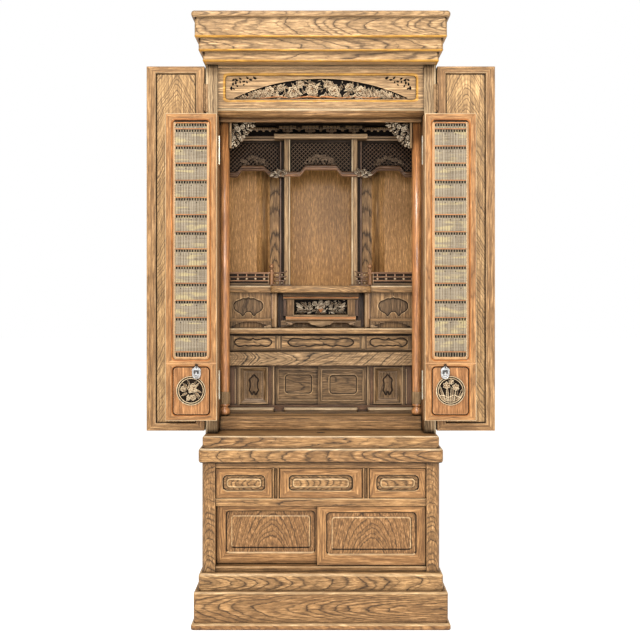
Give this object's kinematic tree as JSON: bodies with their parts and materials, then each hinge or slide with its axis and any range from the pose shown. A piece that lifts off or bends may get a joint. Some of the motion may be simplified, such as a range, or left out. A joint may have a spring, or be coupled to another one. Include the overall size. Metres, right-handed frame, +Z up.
{
  "type": "household altar cabinet",
  "caption": "Floor-standing wooden household altar cabinet with folding outer doors, folding latticed inner doors, a stepped altar with a small shrine, and drawers and sliding doors below.",
  "frame": {"origin": "middle of the underside of the base, half way between the front of the bottom moulding and the back", "axes": "+Z up, +X to the cabinet's right as seen from the front, +Y towards the back; the doors open towards -Y"},
  "size_m": [0.7948, 0.46, 1.364],
  "materials": {
    "case_wood": "satin lacquered zelkova-like wood with strong dark grain",
    "interior_wood": "satin plain-grained wood, darker",
    "carving_wood": "carved wood, matt brown with pale highlights",
    "red_wood": "polished reddish-brown rosewood-like wood",
    "hinge_brass": "pale satin brass",
    "pull_metal": "silver-coloured engraved metal",
    "door_gauze": "pale beige-grey woven gauze",
    "latch_metal": "dark bronze-black"
  },
  "bodies": {
    "cabinet": {"base_moulding": "case_wood", "base_plinth": "case_wood", "base_step": "case_wood", "lower_case": "case_wood", "ledge_moulding": "case_wood", "ledge_slab": "case_wood", "upper_case": "case_wood", "frieze_panel": "case_wood", "door_head_rail": "case_wood", "door_sill": "case_wood", "cornice_lower": "case_wood", "cornice_middle": "case_wood", "cornice_upper": "case_wood", "cornice_cap": "case_wood", "transom_carving": "carving_wood", "corner_bracket_left": "carving_wood", "corner_bracket_right": "carving_wood", "shrine_front": "carving_wood", "column_left": "red_wood", "column_right": "red_wood", "railing_left": "red_wood", "railing_right": "red_wood", "altar_lower_case": "interior_wood", "altar_drawer_case": "interior_wood", "altar_shelf": "interior_wood", "altar_dais": "interior_wood", "altar_top": "interior_wood", "shrine_back_panel": "interior_wood", "outer_hinge_left_upper": "hinge_brass", "outer_hinge_left_lower": "hinge_brass", "inner_hinge_left_upper": "hinge_brass", "inner_hinge_left_lower": "hinge_brass", "outer_hinge_right_upper": "hinge_brass", "outer_hinge_right_lower": "hinge_brass", "inner_hinge_right_upper": "hinge_brass", "inner_hinge_right_lower": "hinge_brass"},
    "outer_left_a": {"outer_door_left_a": "case_wood", "outer_fold_hinge_left": "hinge_brass"},
    "outer_left_b": {"outer_door_left_b": "case_wood"},
    "inner_left_a": {"inner_door_left_a": "case_wood", "inner_fold_hinge_left": "hinge_brass"},
    "inner_left_b": {"inner_door_left_b": "case_wood", "door_pull_left": "pull_metal"},
    "outer_right_a": {"outer_door_right_a": "case_wood", "outer_fold_hinge_right": "hinge_brass"},
    "outer_right_b": {"outer_door_right_b": "case_wood"},
    "inner_right_a": {"inner_door_right_a": "case_wood", "inner_fold_hinge_right": "hinge_brass"},
    "inner_right_b": {"inner_door_right_b": "case_wood", "door_pull_right": "pull_metal"},
    "lower_drawer_body_left": {"lower_drawer_left": "case_wood"},
    "lower_drawer_body_centre": {"lower_drawer_centre": "case_wood"},
    "lower_drawer_body_right": {"lower_drawer_right": "case_wood"},
    "lower_slide_left": {"lower_sliding_door_left": "case_wood"},
    "lower_slide_right": {"lower_sliding_door_right": "case_wood"},
    "altar_drawer_body_left": {"altar_drawer_left": "interior_wood"},
    "altar_drawer_body_centre": {"altar_drawer_centre": "interior_wood"},
    "altar_drawer_body_right": {"altar_drawer_right": "interior_wood"},
    "altar_slide_left": {"altar_sliding_panel_left": "interior_wood"},
    "altar_slide_right": {"altar_sliding_panel_right": "interior_wood"}
  },
  "joints": [
    {"name": "outer_left_jamb", "type": "hinge", "parent": "cabinet", "child": "outer_left_a", "pos_m": [-0.264, -0.1662, 0.84], "axis": [0, 0, -1], "range_deg": [-180, 0]},
    {"name": "outer_left_fold", "type": "hinge", "parent": "outer_left_a", "child": "outer_left_b", "pos_m": [-0.3958, -0.1437, 0.84], "axis": [0, 0, -1], "range_deg": [-180, 0]},
    {"name": "inner_left_jamb", "type": "hinge", "parent": "cabinet", "child": "inner_left_a", "pos_m": [-0.231, -0.1652, 0.797], "axis": [0, 0, -1], "range_deg": [-180, 0]},
    {"name": "inner_left_fold", "type": "hinge", "parent": "inner_left_a", "child": "inner_left_b", "pos_m": [-0.3463, -0.1848, 0.797], "axis": [0, 0, 1], "range_deg": [-180, 0]},
    {"name": "outer_right_jamb", "type": "hinge", "parent": "cabinet", "child": "outer_right_a", "pos_m": [0.264, -0.1662, 0.84], "axis": [0, 0, 1], "range_deg": [-180, 0]},
    {"name": "outer_right_fold", "type": "hinge", "parent": "outer_right_a", "child": "outer_right_b", "pos_m": [0.3958, -0.1437, 0.84], "axis": [0, 0, 1], "range_deg": [-180, 0]},
    {"name": "inner_right_jamb", "type": "hinge", "parent": "cabinet", "child": "inner_right_a", "pos_m": [0.231, -0.1652, 0.797], "axis": [0, 0, 1], "range_deg": [-180, 0]},
    {"name": "inner_right_fold", "type": "hinge", "parent": "inner_right_a", "child": "inner_right_b", "pos_m": [0.3463, -0.1848, 0.797], "axis": [0, 0, -1], "range_deg": [-180, 0]},
    {"name": "lower_drawer_left_slide", "type": "slide", "parent": "cabinet", "child": "lower_drawer_body_left", "axis": [0, -1, 0], "range_m": [0, 0.25]},
    {"name": "lower_drawer_centre_slide", "type": "slide", "parent": "cabinet", "child": "lower_drawer_body_centre", "axis": [0, -1, 0], "range_m": [0, 0.25]},
    {"name": "lower_drawer_right_slide", "type": "slide", "parent": "cabinet", "child": "lower_drawer_body_right", "axis": [0, -1, 0], "range_m": [0, 0.25]},
    {"name": "lower_door_left_slide", "type": "slide", "parent": "cabinet", "child": "lower_slide_left", "axis": [1, 0, 0], "range_m": [0, 0.226]},
    {"name": "lower_door_right_slide", "type": "slide", "parent": "cabinet", "child": "lower_slide_right", "axis": [1, 0, 0], "range_m": [-0.226, 0]},
    {"name": "altar_drawer_left_slide", "type": "slide", "parent": "cabinet", "child": "altar_drawer_body_left", "axis": [0, -1, 0], "range_m": [0, 0.12]},
    {"name": "altar_drawer_centre_slide", "type": "slide", "parent": "cabinet", "child": "altar_drawer_body_centre", "axis": [0, -1, 0], "range_m": [0, 0.12]},
    {"name": "altar_drawer_right_slide", "type": "slide", "parent": "cabinet", "child": "altar_drawer_body_right", "axis": [0, -1, 0], "range_m": [0, 0.12]},
    {"name": "altar_panel_left_slide", "type": "slide", "parent": "cabinet", "child": "altar_slide_left", "axis": [1, 0, 0], "range_m": [0, 0.105]},
    {"name": "altar_panel_right_slide", "type": "slide", "parent": "cabinet", "child": "altar_slide_right", "axis": [1, 0, 0], "range_m": [-0.105, 0]}
  ],
  "couplings": [
    {"joint": "inner_left_jamb", "follows": "outer_left_jamb", "ratio": 1},
    {"joint": "inner_right_jamb", "follows": "outer_right_jamb", "ratio": 1}
  ]
}
